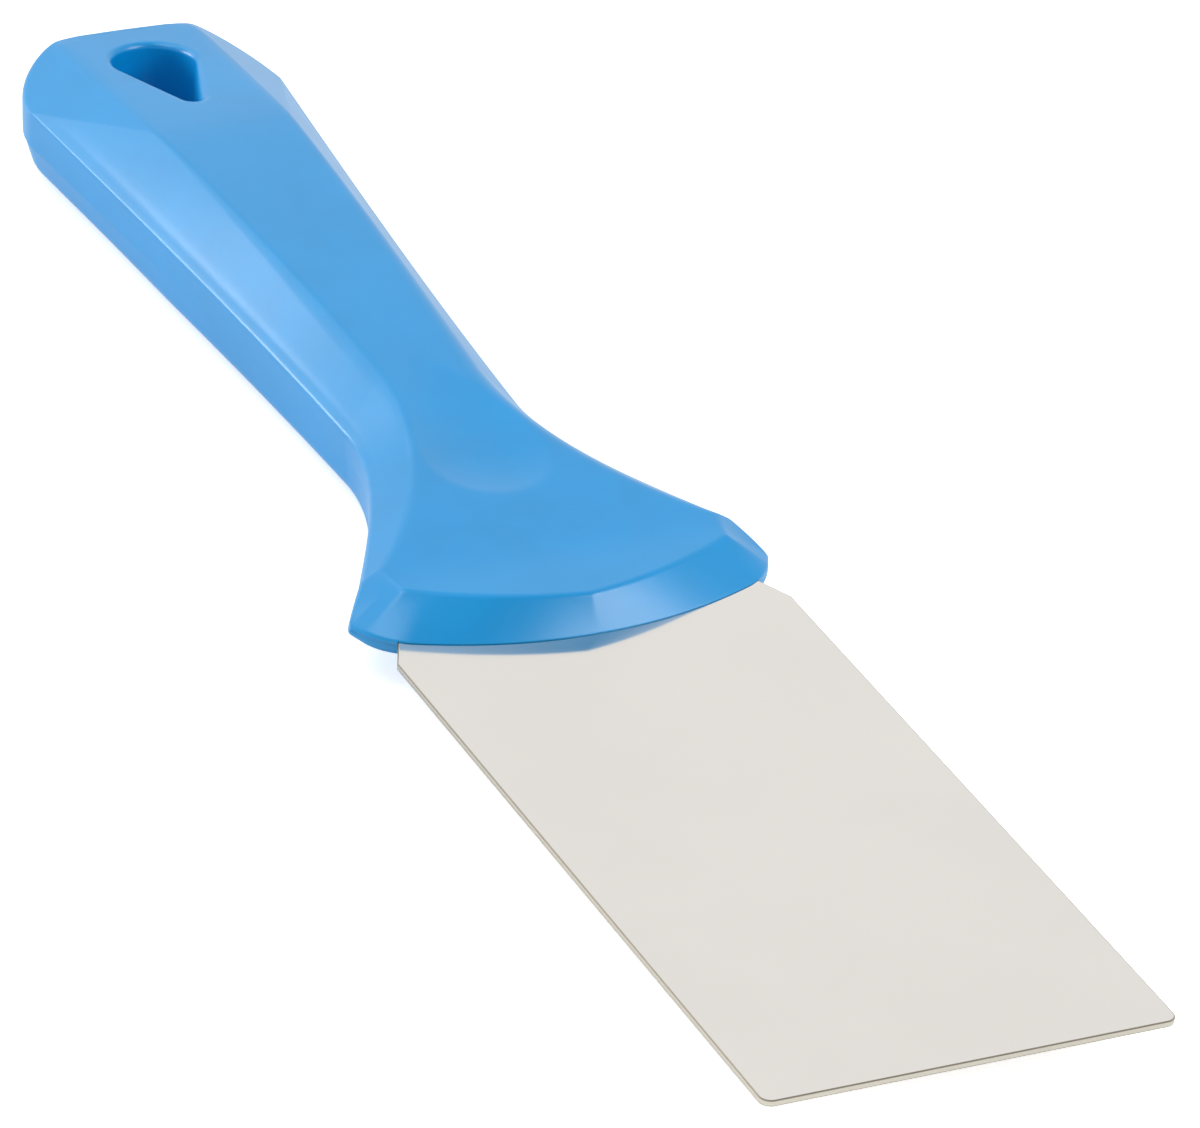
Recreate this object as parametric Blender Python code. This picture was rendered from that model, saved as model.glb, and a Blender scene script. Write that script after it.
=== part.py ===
"""Hand scraper: a flat steel blade whose holed tang sits inside a one-piece moulded handle.

Metres, +Z up. X runs across the blade, the blade points along -Y and the grip along +Y.
The origin is the middle of the whole tool's footprint, on the flat underside of the handle.
Plan distances called "back" are measured from the mouth, the middle of the handle's front edge.
Heights are measured from the middle plane of the blade.
"""
import math

import bmesh
import bpy
from mathutils import Matrix, Vector

# Blade and its hidden tang
BLADE_WIDTH = 0.0500
BLADE_THICKNESS = 0.0008
BLADE_REACH = 0.0924
BLADE_TIP_RADIUS = 0.0014
BLADE_SHOULDER_BACK = 0.0010
BLADE_SHOULDER_RUN = 0.0110
BLADE_SHOULDER_STEP = 0.0052
TANG_SIDE_WALL = 0.0039
TANG_ROOT_RUN = 0.0050
TANG_LENGTH = 0.0660
TANG_CORNER_RADIUS = 0.0030
TANG_HOLE_RADIUS = 0.0030
TANG_HOLE_COUNT = 3
TANG_HOLE_LEAD = 0.0060
TANG_HOLE_END_WALL = 0.0100
FIT_GAP = 0.0003

# Handle: lengths along the tool
HANDLE_LENGTH = 0.1430
FRONT_ARC_RADIUS = 0.0515
BEVEL_FRONT_BACK = 0.0030
BASE_FRONT_BACK = 0.0071
LIP_CORNER_RUN = 0.0025
TIP_LAG = 0.0035
SHOULDER_RUN = 0.0039
FLARE_RUN = 0.0321
TOP_NECK_LAG = 0.0030
BEND_RUN = 0.0324
RIDGE_CORNER_RUN = 0.0122
RIDGE_CORNER_PULL = 0.0044
TOP_CORNER_RUN = 0.0037

# Handle: widths and the steps between its outlines
TIP_MARGIN = 0.0019
TIP_BULGE = 0.00055
LIP_CORNER_STEP = 0.00125
LIP_ROUND_STEP = 0.0054
BEVEL_CORNER_STEP = 0.0063
SHOULDER_STEP = 0.0029
TOP_SHOULDER_STEP = 0.0026
NECK_WIDTH = 0.0228
NECK_BEVEL = 0.0053
GRIP_WIDTH = 0.0342
TOP_BEND_WIDTH = 0.0180
TOP_BACK_WIDTH = 0.0188
BACK_EDGE_WIDTH = 0.0178
BACK_EDGE_LAG = 0.0004
BACK_TOP_INSET = 0.0016
BACK_CORNER_INSET = 0.0027
BACK_CORNER_RISE = 0.0010
BASE_HEAD_INSET = 0.0080
BASE_SIDE_INSET = 0.0045
WALL_DRAFT = 0.0003
LOWER_NECK_DRAFT = 0.0007
LOWER_GRIP_DRAFT = 0.0018

# Handle: heights
UNDERSIDE_DEPTH = 0.0056
UNDERSIDE_CHAMFER_RISE = 0.0015
LIP_WALL = 0.0004
BEVEL_RISE = 0.0031
LIP_CORNER_DIP = 0.00065
TIP_DIP = 0.0005
TIP_DEPTH = 0.00075
TOP_SHOULDER_RISE = 0.0005
RIDGE_SHOULDER_RISE = 0.0021
RIDGE_GRIP_RISE = 0.0016
TOP_BEND_HEIGHT = 0.01105
TOP_BACK_FALL = 0.0025
HEAD_SOFTNESS = 0.0004
BEND_SOFTNESS = 0.0003
BACK_SOFTNESS = 0.0006

# Slopes of the plan curves in width gained per length run, and of the top face where it climbs
BEVEL_CREASE_SLOPE = 0.141
RIDGE_FLARE_SLOPE = -0.56
TOP_FLARE_SLOPE = -0.95
RIDGE_NECK_SLOPE = 0.035
RIDGE_GRIP_SLOPE = 0.085
TOP_CLIMB_SLOPE = 0.135
TOP_FRONT_SHARE = 0.86

# Rounding of the handle's edges
TOP_EDGE_REACH = 0.0012
RIDGE_EDGE_REACH = 0.0006
LOWER_EDGE_REACH = 0.0011
BASE_EDGE_REACH = 0.0008
EDGE_REACH_LIMIT_SHARE = 0.25

# Thumb dish, turned about an axis across the neck's top face
DISH_DEPTH = 0.0009
DISH_WIDTH = 0.0156
DISH_LEAD = 0.0225
DISH_LENGTH = 0.0300
DISH_DEEPEST_RUN = 0.0080

# Hanging hole: a round end at the back, drawn out to a small nose towards the blade
HOLE_WIDTH = 0.0105
HOLE_LENGTH = 0.0182
HOLE_NOSE_RADIUS = 0.0008
HOLE_END_WALL = 0.00575
HOLE_BACK_RIM_REACH = 0.0009
HOLE_NOSE_RIM_REACH = 0.0018

# How many steps each stretch of an outline takes
FRONT_STEPS = 10
LIP_ROUND_STEPS = 3
LIP_CORNER_STEPS = 2
TIP_STEPS = 4
FLARE_STEPS = 16
GRIP_STEPS = 10
CORNER_STEPS = 8
BACK_STEPS = 4
ROUND_STEPS = 8
DISH_STEPS = 16
CUT_OVERRUN = 0.0020
WELD_DISTANCE = 0.000001
SMOOTH_ANGLE_DEGREES = 25.0

# Places worked out from the sizes above
OVERALL_LENGTH = BLADE_REACH + HANDLE_LENGTH
MOUTH_Y = BLADE_REACH - OVERALL_LENGTH / 2
HALF_THICKNESS = BLADE_THICKNESS / 2
TANG_WIDTH = NECK_WIDTH - 2 * TANG_SIDE_WALL
TANG_ROOT_BACK = BLADE_SHOULDER_BACK + BLADE_SHOULDER_RUN + TANG_ROOT_RUN
TIP_HALF = BLADE_WIDTH / 2 + TIP_MARGIN
TIP_BACK = TIP_HALF ** 2 / (2 * FRONT_ARC_RADIUS) + TIP_LAG
SHOULDER_BACK = TIP_BACK + SHOULDER_RUN
NECK_BACK = SHOULDER_BACK + FLARE_RUN
BEND_BACK = HANDLE_LENGTH - BEND_RUN
RIDGE_CORNER_BACK = HANDLE_LENGTH - RIDGE_CORNER_RUN
TOP_CORNER_BACK = HANDLE_LENGTH - TOP_CORNER_RUN
DISH_FRONT_BACK = NECK_BACK - DISH_LEAD
SHOULDER_HALF = TIP_HALF - SHOULDER_STEP
LOWER_EDGE_DEPTH = UNDERSIDE_DEPTH - UNDERSIDE_CHAMFER_RISE
LIP_HEIGHT = HALF_THICKNESS + FIT_GAP + LIP_WALL
TOP_FRONT_HEIGHT = LIP_HEIGHT + BEVEL_RISE
TOP_SHOULDER_HEIGHT = TOP_FRONT_HEIGHT + TOP_SHOULDER_RISE
RIDGE_NECK_HEIGHT = LIP_HEIGHT + RIDGE_SHOULDER_RISE
RIDGE_GRIP_HEIGHT = RIDGE_NECK_HEIGHT + RIDGE_GRIP_RISE


def place(half, back, height):
    """A point given by its half width, its distance back from the mouth and its height."""
    return Vector((half, MOUTH_Y + back, UNDERSIDE_DEPTH + height))


def hermite(share, start, start_slope, end, end_slope, run):
    """A value on the smooth curve between two values whose slopes per run are known."""
    square, cube = share ** 2, share ** 3
    value = (2 * cube - 3 * square + 1) * start + (3 * square - 2 * cube) * end
    return value + run * ((cube - 2 * square + share) * start_slope + (cube - square) * end_slope)


def stretch(steps, law):
    """The points of one stretch of an outline, without its last one."""
    return [law(step / steps) for step in range(steps)]


def blend(start, end):
    """A law that runs straight from one point to another."""
    return lambda share: start.lerp(end, share)


def bow(start, control, end):
    """A law that runs in one smooth bow, pulled towards a control point."""
    return lambda share: start.lerp(control, share).lerp(control.lerp(end, share), share)


def sweep(start, leave, arrive, end):
    """A law that runs in one smooth sweep, leaving and arriving towards two control points."""
    def law(share):
        return bow(start, leave, arrive)(share).lerp(bow(leave, arrive, end)(share), share)
    return law


def taper(start, end, start_slope, end_slope):
    """A law for a side line that changes its width smoothly and its height evenly."""
    run = end.y - start.y

    def law(share):
        half = hermite(share, start.x, start_slope, end.x, end_slope, run)
        return Vector((half, start.y + run * share, start.z + (end.z - start.z) * share))
    return law


def front_arc(half, back, crease, height):
    """A law along the front of the head: an arc in plan with an optional crease in its middle."""
    def law(share):
        across = half * share
        return place(across, back + crease * across + across ** 2 / (2 * FRONT_ARC_RADIUS), height)
    return law


def front_stretch(law):
    """The points along the front of the head, closer together near its corner."""
    points = [law(TOP_FRONT_SHARE * step / FRONT_STEPS) for step in range(FRONT_STEPS)]
    rest = 1 - TOP_FRONT_SHARE
    return points + [law(TOP_FRONT_SHARE + rest * step / LIP_ROUND_STEPS) for step in range(LIP_ROUND_STEPS)]


def soft_min(one, two, softness):
    """The smaller of two values, with a soft change from one to the other."""
    return (one + two - math.hypot(one - two, softness)) / 2


def top_height(back):
    """Height of the top face: level on the head, then climbing to the bend, then falling."""
    run = BEND_BACK - SHOULDER_BACK
    share = (back - SHOULDER_BACK) / run
    climb = TOP_SHOULDER_HEIGHT + TOP_CLIMB_SLOPE * (back - SHOULDER_BACK)
    if share > 0:
        climb = hermite(min(1, share), TOP_SHOULDER_HEIGHT, TOP_CLIMB_SLOPE, TOP_BEND_HEIGHT, 0, run)
    fall = TOP_BEND_HEIGHT - TOP_BACK_FALL * (back - BEND_BACK) / (TOP_CORNER_BACK - BEND_BACK)
    risen = -soft_min(-TOP_FRONT_HEIGHT, -climb, HEAD_SOFTNESS)
    return soft_min(risen, fall, BEND_SOFTNESS)


def on_top_face(point):
    """A point moved up or down on to the top face."""
    back = point.y - MOUTH_Y
    return place(point.x, back, top_height(back))


def top_front_edge(share):
    """The law of the top face's front edge."""
    return front_arc(TIP_HALF - BEVEL_CORNER_STEP, BEVEL_FRONT_BACK, BEVEL_CREASE_SLOPE, 0)(share)


def head_facet():
    """Corners of the facet on each side of the head: on its bevel, top face and ridge."""
    top_shoulder = place(SHOULDER_HALF - TOP_SHOULDER_STEP, SHOULDER_BACK, 0)
    ridge_shoulder = place(SHOULDER_HALF, SHOULDER_BACK, RIDGE_NECK_HEIGHT)
    return on_top_face(top_front_edge(1)), on_top_face(top_shoulder), ridge_shoulder


def back_facet():
    """Corners of the facet on each back corner of the grip: two on its top face, one on its ridge."""
    bend = place(TOP_BEND_WIDTH / 2, BEND_BACK, 0)
    corner = place(TOP_BACK_WIDTH / 2, TOP_CORNER_BACK, 0)
    ridge_corner = place(GRIP_WIDTH / 2, RIDGE_CORNER_BACK, RIDGE_GRIP_HEIGHT)
    return on_top_face(bend), on_top_face(corner), ridge_corner


def on_facet(facet, points):
    """Points moved up or down on to the plane through a facet's corners."""
    one, two, three = facet
    normal = (two - one).cross(three - one)
    moved = []
    for point in points:
        fall = (normal.x * (point.x - one.x) + normal.y * (point.y - one.y)) / normal.z
        moved.append(Vector((point.x, point.y, one.z - fall)))
    return moved


def roofed(points):
    """Points of the back end moved on to the roof that the back facet and the top face make."""
    moved = []
    for point, low in zip(points, on_facet(back_facet(), points)):
        moved.append(Vector((point.x, point.y, soft_min(low.z, on_top_face(point).z, BACK_SOFTNESS))))
    return moved


def back_corner(start, end):
    """A law round one back corner of an outline."""
    leave = start + Vector((0, RIDGE_CORNER_PULL, 0))
    arrive = Vector((start.x - BACK_CORNER_INSET, end.y - BACK_CORNER_RISE, end.z))
    return sweep(start, leave, arrive, end)


def top_rim():
    """The edge of the top face, from its front middle round to its back middle."""
    front_corner, shoulder, _ = head_facet()
    bend, corner, _ = back_facet()
    neck = place(NECK_WIDTH / 2 - NECK_BEVEL, NECK_BACK + TOP_NECK_LAG, 0)
    back = place(0, HANDLE_LENGTH - BACK_TOP_INSET, 0)
    pull = place(corner.x, HANDLE_LENGTH - BACK_TOP_INSET, 0)
    grip_slope = (bend.x - neck.x) / (bend.y - neck.y)
    points = front_stretch(top_front_edge)
    points += stretch(LIP_CORNER_STEPS + TIP_STEPS, blend(front_corner, shoulder))
    points += stretch(FLARE_STEPS, taper(shoulder, neck, TOP_FLARE_SLOPE, 0))
    points += stretch(GRIP_STEPS, taper(neck, bend, grip_slope, grip_slope))
    points += stretch(CORNER_STEPS, blend(bend, corner))
    points += stretch(BACK_STEPS, bow(corner, pull, back)) + [back]
    return [on_top_face(point) for point in points]


def ridge_rim():
    """The widest line of the handle: its lip in front, its ridge along the sides."""
    half = TIP_HALF - LIP_ROUND_STEP
    front = front_arc(half, 0, 0, LIP_HEIGHT)
    chin = front(1) + Vector((1, half / FRONT_ARC_RADIUS, 0)).normalized() * LIP_CORNER_RUN
    lip_corner = place(TIP_HALF - LIP_CORNER_STEP, TIP_BACK - LIP_CORNER_RUN, LIP_HEIGHT)
    tip = place(TIP_HALF, TIP_BACK, 0)
    shoulder = place(SHOULDER_HALF, SHOULDER_BACK, 0)
    brow = (tip + shoulder) / 2 + Vector((TIP_BULGE, -TIP_BULGE, 0))
    lip_corner, tip, brow, shoulder = on_facet(head_facet(), [lip_corner, tip, brow, shoulder])
    lip_corner.z -= LIP_CORNER_DIP
    tip.z -= TIP_DIP
    neck = place(NECK_WIDTH / 2, NECK_BACK, RIDGE_NECK_HEIGHT)
    corner = place(GRIP_WIDTH / 2, RIDGE_CORNER_BACK, RIDGE_GRIP_HEIGHT)
    rear = place(BACK_EDGE_WIDTH / 2, HANDLE_LENGTH - BACK_EDGE_LAG, 0)
    pull = place(rear.x / 2, HANDLE_LENGTH, 0)
    back = place(0, HANDLE_LENGTH, 0)
    points = stretch(FRONT_STEPS, front)
    points += stretch(LIP_ROUND_STEPS, bow(front(1), chin, lip_corner))
    points += stretch(LIP_CORNER_STEPS, blend(lip_corner, tip))
    points += stretch(TIP_STEPS, bow(tip, brow, shoulder))
    points += stretch(FLARE_STEPS, taper(shoulder, neck, RIDGE_FLARE_SLOPE, 0))
    points += stretch(GRIP_STEPS, taper(neck, corner, RIDGE_NECK_SLOPE, RIDGE_GRIP_SLOPE))
    end = stretch(CORNER_STEPS, back_corner(corner, rear)) + stretch(BACK_STEPS, bow(rear, pull, back))
    return points + roofed([*end, back])


def base_rim():
    """The edge of the flat underside."""
    depth = -UNDERSIDE_DEPTH
    end_back = HANDLE_LENGTH - BASE_SIDE_INSET
    half = BLADE_WIDTH / 2 - BASE_HEAD_INSET
    front = front_arc(half, BASE_FRONT_BACK, BEVEL_CREASE_SLOPE, depth)
    shoulder = place(half, SHOULDER_BACK, depth)
    neck = place(NECK_WIDTH / 2 - BASE_SIDE_INSET, NECK_BACK, depth)
    corner = place(GRIP_WIDTH / 2 - BASE_SIDE_INSET, RIDGE_CORNER_BACK, depth)
    rear = place((BACK_EDGE_WIDTH - BASE_SIDE_INSET) / 2, end_back, depth)
    end = place(0, end_back, depth)
    points = front_stretch(front)
    points += stretch(LIP_CORNER_STEPS + TIP_STEPS, blend(front(1), shoulder))
    points += stretch(FLARE_STEPS, taper(shoulder, neck, RIDGE_FLARE_SLOPE, 0))
    points += stretch(GRIP_STEPS, taper(neck, corner, RIDGE_NECK_SLOPE, RIDGE_GRIP_SLOPE))
    points += stretch(CORNER_STEPS, back_corner(corner, rear))
    return points + stretch(BACK_STEPS, blend(rear, end)) + [end]


def plan_normals(points):
    """For each point of a half outline, the direction in plan that leads into the handle."""
    mirrored = [Vector((-points[index].x, points[index].y, 0)) for index in (1, -2)]
    around = [mirrored[0], *points, mirrored[1]]
    normals = []
    for before, after in zip(around, around[2:]):
        along = Vector((after.x - before.x, after.y - before.y, 0)).normalized()
        normals.append(Vector((-along.y, along.x, 0)))
    return normals


def lower_rims(ridge):
    """The parting line and the lower edge of the wall, both set in from the ridge."""
    lip_index = FRONT_STEPS + LIP_ROUND_STEPS
    tip_index = lip_index + LIP_CORNER_STEPS
    neck_index = tip_index + TIP_STEPS + FLARE_STEPS
    parting, lower = [], []
    for index, (point, into) in enumerate(zip(ridge, plan_normals(ridge))):
        flare = min(1, max(0, (index - tip_index) / (neck_index - tip_index)))
        grip = min(1, max(0, (index - neck_index) / GRIP_STEPS))
        shallow = min(1, max(0, (index - lip_index) / LIP_CORNER_STEPS))
        lip_depth = LIP_HEIGHT + (TIP_DEPTH - LIP_HEIGHT) * shallow
        depth = lip_depth + (LOWER_EDGE_DEPTH - lip_depth) * math.sin(flare * math.pi / 2)
        draft = LOWER_NECK_DRAFT * flare + (LOWER_GRIP_DRAFT - LOWER_NECK_DRAFT) * grip ** 2
        middle = Vector((point.x, point.y, UNDERSIDE_DEPTH))
        parting.append(middle + into * (WALL_DRAFT * flare))
        lower.append(middle + into * draft - Vector((0, 0, depth)))
    return parting, lower


def inner_rim(points, inset):
    """An outline moved into the handle, level with the one it comes from."""
    return [point + into * inset for point, into in zip(points, plan_normals(points))]


def rounded_edge(before, points, after, reach):
    """Three outlines that round one edge line, between its neighbours on either side."""
    first, middle, last = [], [], []
    for one, point, two in zip(before, points, after):
        toward, away = one - point, two - point
        size = min(reach, EDGE_REACH_LIMIT_SHARE * toward.length, EDGE_REACH_LIMIT_SHARE * away.length)
        start, end = point + toward.normalized() * size, point + away.normalized() * size
        first.append(start)
        middle.append((start + end) / 4 + point / 2)
        last.append(end)
    return [first, middle, last]


def closed_ring(half_points):
    """A half outline and its mirror image as one closed outline."""
    mirrored = [Vector((-point.x, point.y, point.z)) for point in reversed(half_points[1:-1])]
    return half_points + mirrored


def new_ring(bm, points):
    """A closed ring of new vertices and edges."""
    ring = [bm.verts.new(point) for point in points]
    for index, vert in enumerate(ring):
        bm.edges.new((ring[index - 1], vert))
    return ring


def grow_ring(bm, ring, points):
    """Extrudes a ring and moves the new one to its own points."""
    edges = [bm.edges.get((vert, ring[index - 1])) for index, vert in enumerate(ring)]
    grown = bmesh.ops.extrude_edge_only(bm, edges=edges)["geom"]
    fresh = {item for item in grown if isinstance(item, bmesh.types.BMVert)}
    result = []
    for vert, point in zip(ring, points):
        twin = next(edge.other_vert(vert) for edge in vert.link_edges if edge.other_vert(vert) in fresh)
        twin.co = point
        result.append(twin)
    return result


def close_top(bm, ring, last):
    """Closes the top face with level rungs from side to side, last being its back middle point."""
    left = [ring[-index] for index in range(last)]
    bm.faces.new((ring[0], ring[1], left[1]))
    for index in range(1, last - 1):
        bm.faces.new((ring[index], ring[index + 1], left[index + 1], left[index]))
    bm.faces.new((ring[last - 1], ring[last], left[last - 1]))


def mesh_object(bm, name, material=None):
    """An object with a tidy outward-facing mesh, smooth but for its sharp edges."""
    bmesh.ops.remove_doubles(bm, verts=bm.verts, dist=WELD_DISTANCE)
    bmesh.ops.recalc_face_normals(bm, faces=bm.faces)
    mesh = bpy.data.meshes.new(name)
    bm.to_mesh(mesh)
    bm.free()
    obj = bpy.data.objects.new(name, mesh)
    bpy.context.collection.objects.link(obj)
    mesh.shade_smooth()
    mesh.set_sharp_from_angle(angle=math.radians(SMOOTH_ANGLE_DEGREES))
    if material:
        mesh.materials.append(material)
    return obj


def cutter_object(bm, name):
    """A hidden cutting body."""
    obj = mesh_object(bm, name)
    obj.hide_render = True
    obj.display_type = 'WIRE'
    return obj


def cut(target, cutter):
    """Cuts one body out of another."""
    modifier = target.modifiers.new(cutter.name, 'BOOLEAN')
    modifier.operation = 'DIFFERENCE'
    modifier.solver = 'EXACT'
    modifier.object = cutter


def principled(name, colour, roughness, metallic):
    """A plain material."""
    material = bpy.data.materials.new(name)
    material.use_nodes = True
    shader = material.node_tree.nodes["Principled BSDF"]
    shader.inputs["Base Color"].default_value = (*colour, 1.0)
    shader.inputs["Roughness"].default_value = roughness
    shader.inputs["Metallic"].default_value = metallic
    return material


def arc_points(centre, radius, start, end):
    """Points of a plan arc about a centre, angles in degrees, both ends included."""
    points = []
    for step in range(ROUND_STEPS + 1):
        angle = math.radians(start + (end - start) * step / ROUND_STEPS)
        points.append((centre[0] + radius * math.cos(angle), centre[1] + radius * math.sin(angle)))
    return points


def blade_half_outline(gap):
    """Half of the blade's plan from its front edge to the tang's end, grown by a gap."""
    half = BLADE_WIDTH / 2
    root_half = half - BLADE_SHOULDER_STEP + gap
    root_back = BLADE_SHOULDER_BACK + BLADE_SHOULDER_RUN
    tip = (half - BLADE_TIP_RADIUS, BLADE_TIP_RADIUS - BLADE_REACH)
    end = (TANG_WIDTH / 2 - TANG_CORNER_RADIUS, TANG_LENGTH - TANG_CORNER_RADIUS)
    points = arc_points(tip, BLADE_TIP_RADIUS + gap, -90, 0)
    points += [(half + gap, BLADE_SHOULDER_BACK), (root_half, root_back), (root_half, root_back + gap)]
    points += [(TANG_WIDTH / 2 + gap, TANG_ROOT_BACK + gap)]
    return points + arc_points(end, TANG_CORNER_RADIUS + gap, 0, 90)


def blade_plate(gap):
    """The blade's solid without its holes, grown by a gap on every side."""
    half = blade_half_outline(gap)
    whole = half + [(-across, back) for across, back in reversed(half)]
    height = HALF_THICKNESS + gap
    bm = bmesh.new()
    face = bm.faces.new([bm.verts.new(place(across, back, -height)) for across, back in whole])
    grown = bmesh.ops.extrude_face_region(bm, geom=[face])["geom"]
    verts = [item for item in grown if isinstance(item, bmesh.types.BMVert)]
    bmesh.ops.translate(bm, verts=verts, vec=(0, 0, 2 * height))
    return bm


def tang_hole_drums(radius):
    """The round bodies that stand in the tang's holes, in one mesh."""
    first = TANG_ROOT_BACK + TANG_HOLE_LEAD
    pitch = (TANG_LENGTH - TANG_HOLE_END_WALL - first) / (TANG_HOLE_COUNT - 1)
    depth = 2 * (HALF_THICKNESS + CUT_OVERRUN)
    bm = bmesh.new()
    for index in range(TANG_HOLE_COUNT):
        made = bmesh.ops.create_cone(bm, cap_ends=True, segments=4 * ROUND_STEPS, radius1=radius,
                                     radius2=radius, depth=depth)
        bmesh.ops.translate(bm, verts=made["verts"], vec=place(0, first + index * pitch, 0))
    return bm


def hole_half_outline(grow_share):
    """Half of the hanging hole's plan, grown by a share of its rim, with the rim's reach at each point."""
    wide = HOLE_WIDTH / 2
    rear = HANDLE_LENGTH - HOLE_END_WALL - wide
    nose = HANDLE_LENGTH - HOLE_END_WALL - HOLE_LENGTH + HOLE_NOSE_RADIUS
    lean = math.degrees(math.asin((wide - HOLE_NOSE_RADIUS) / (rear - nose)))
    arcs = ((nose, HOLE_NOSE_RADIUS, HOLE_NOSE_RIM_REACH, -90, -lean),
            (rear, wide, HOLE_BACK_RIM_REACH, -lean, 90))
    points = []
    for centre, radius, reach, start, end in arcs:
        points += [(*spot, reach) for spot in arc_points((0, centre), radius + reach * grow_share, start, end)]
    return points


def hanging_hole_cutter():
    """The cutter of the hanging hole, flared where it leaves the underside and the top face."""
    rounding = [(1, 0, 0), (1 / 4, 1 / 4, 0), (0, 1, 0)]
    bm = bmesh.new()
    ring = None
    low = [(1, 0, CUT_OVERRUN)] + rounding
    high = rounding[::-1] + [(1, 0, CUT_OVERRUN)]
    for is_top, levels in enumerate((low, high)):
        for grow_share, sink_share, overrun in levels:
            half = []
            for across, back, reach in hole_half_outline(grow_share):
                inside = reach * sink_share - overrun
                height = top_height(back) - inside if is_top else inside - UNDERSIDE_DEPTH
                half.append(place(across, back, height))
            points = closed_ring(half)
            ring = grow_ring(bm, ring, points) if ring else new_ring(bm, points)
            if len(bm.faces) == 0:
                bm.faces.new(ring)
    bm.faces.new(ring)
    return cutter_object(bm, "hanging_hole_cutter")


def dish_cutter():
    """The cutter of the thumb dish: its profile along the neck, swung about an axis above it."""
    radius = DISH_WIDTH ** 2 / (8 * DISH_DEPTH) + DISH_DEPTH / 2
    axis_height = top_height(DISH_FRONT_BACK + DISH_DEEPEST_RUN) - DISH_DEPTH + radius
    profile = []
    for step in range(DISH_STEPS + 1):
        run = DISH_LENGTH * (step / DISH_STEPS) ** 2
        if run < DISH_DEEPEST_RUN:
            share = 1 - (1 - run / DISH_DEEPEST_RUN) ** 2
        else:
            share = hermite((run - DISH_DEEPEST_RUN) / (DISH_LENGTH - DISH_DEEPEST_RUN), 1, 0, 0, 0, 1)
        back = DISH_FRONT_BACK + run
        profile.append(place(0, back, top_height(back) - DISH_DEPTH * share))
    lid = max(point.z for point in profile) + CUT_OVERRUN
    corners = profile + [Vector((0, profile[end].y, lid)) for end in (-1, 0)]
    half_swing = 2 * math.asin(DISH_WIDTH / (2 * radius))
    bm = bmesh.new()
    face = bm.faces.new([bm.verts.new(corner) for corner in corners])
    axis = place(0, 0, axis_height)
    bmesh.ops.rotate(bm, verts=bm.verts, cent=axis, matrix=Matrix.Rotation(-half_swing, 4, 'Y'))
    bmesh.ops.spin(bm, geom=[face], cent=axis, axis=(0, 1, 0), angle=2 * half_swing, steps=2 * DISH_STEPS)
    return cutter_object(bm, "thumb_dish_cutter")


def make_blade(material):
    """The steel blade with its tang and the holes that the handle's pegs fill."""
    blade = mesh_object(blade_plate(0), "blade", material)
    cut(blade, cutter_object(tang_hole_drums(TANG_HOLE_RADIUS), "tang_hole_cutter"))
    return blade


def make_handle(material):
    """The moulded handle: its outlines joined into one body, then its pocket, dish and hole."""
    top, ridge, base = top_rim(), ridge_rim(), base_rim()
    parting, lower = lower_rims(ridge)
    rims = rounded_edge(inner_rim(base, BASE_SIDE_INSET), base, lower, BASE_EDGE_REACH)
    rims += rounded_edge(base, lower, parting, LOWER_EDGE_REACH)
    rims += [parting]
    rims += rounded_edge(parting, ridge, top, RIDGE_EDGE_REACH)
    upper = rounded_edge(ridge, top, inner_rim(top, BASE_SIDE_INSET), TOP_EDGE_REACH)
    rims += upper[:2] + [[on_top_face(point) for point in upper[2]]]
    bm = bmesh.new()
    ring = new_ring(bm, closed_ring(rims[0]))
    bm.faces.new(ring)
    for rim in rims[1:]:
        ring = grow_ring(bm, ring, closed_ring(rim))
    close_top(bm, ring, len(top) - 1)
    handle = mesh_object(bm, "handle", material)
    pocket = cutter_object(blade_plate(FIT_GAP), "tang_pocket_cutter")
    cut(pocket, cutter_object(tang_hole_drums(TANG_HOLE_RADIUS - FIT_GAP), "peg_cutter"))
    for cutter in (pocket, dish_cutter(), hanging_hole_cutter()):
        cut(handle, cutter)
    return handle


def main():
    """Clears the scene and builds both pieces."""
    for obj in list(bpy.data.objects):
        bpy.data.objects.remove(obj, do_unlink=True)
    make_blade(principled("satin_steel", (0.76, 0.74, 0.70), 0.3, 1.0))
    make_handle(principled("blue_polypropylene", (0.11, 0.38, 0.75), 0.38, 0.0))


main()
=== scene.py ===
"""Looks of the hand scraper: a satin steel blade held in a one-piece moulded handle.

Metres, +Z up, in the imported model's frame: X runs across the blade, the blade points along -Y
and the grip along +Y. Plan distances called "back" are measured from the mouth, the middle of
the handle's front edge, and heights from the middle plane of the blade.
"""
from __future__ import annotations

import logging
import math
from collections.abc import Callable, Sequence
from dataclasses import dataclass, field
from enum import Enum

import bmesh
import bpy
from mathutils import Matrix, Vector


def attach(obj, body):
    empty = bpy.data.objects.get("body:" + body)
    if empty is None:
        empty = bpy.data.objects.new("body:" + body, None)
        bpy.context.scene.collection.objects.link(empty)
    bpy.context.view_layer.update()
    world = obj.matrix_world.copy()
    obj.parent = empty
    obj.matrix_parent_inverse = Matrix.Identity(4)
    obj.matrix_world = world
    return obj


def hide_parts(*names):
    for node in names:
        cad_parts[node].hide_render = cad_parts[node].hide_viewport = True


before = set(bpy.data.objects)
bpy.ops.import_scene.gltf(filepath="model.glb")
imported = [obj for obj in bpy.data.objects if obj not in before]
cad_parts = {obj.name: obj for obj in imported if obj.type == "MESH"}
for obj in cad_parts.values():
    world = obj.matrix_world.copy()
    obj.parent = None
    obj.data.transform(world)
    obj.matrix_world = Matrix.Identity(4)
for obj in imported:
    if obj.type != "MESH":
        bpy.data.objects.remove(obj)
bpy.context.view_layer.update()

LOG = logging.getLogger("hand_scraper")
BODY = "root"
WELD_DISTANCE = 0.0000005
UNTANGLE_PASSES = 60
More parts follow.
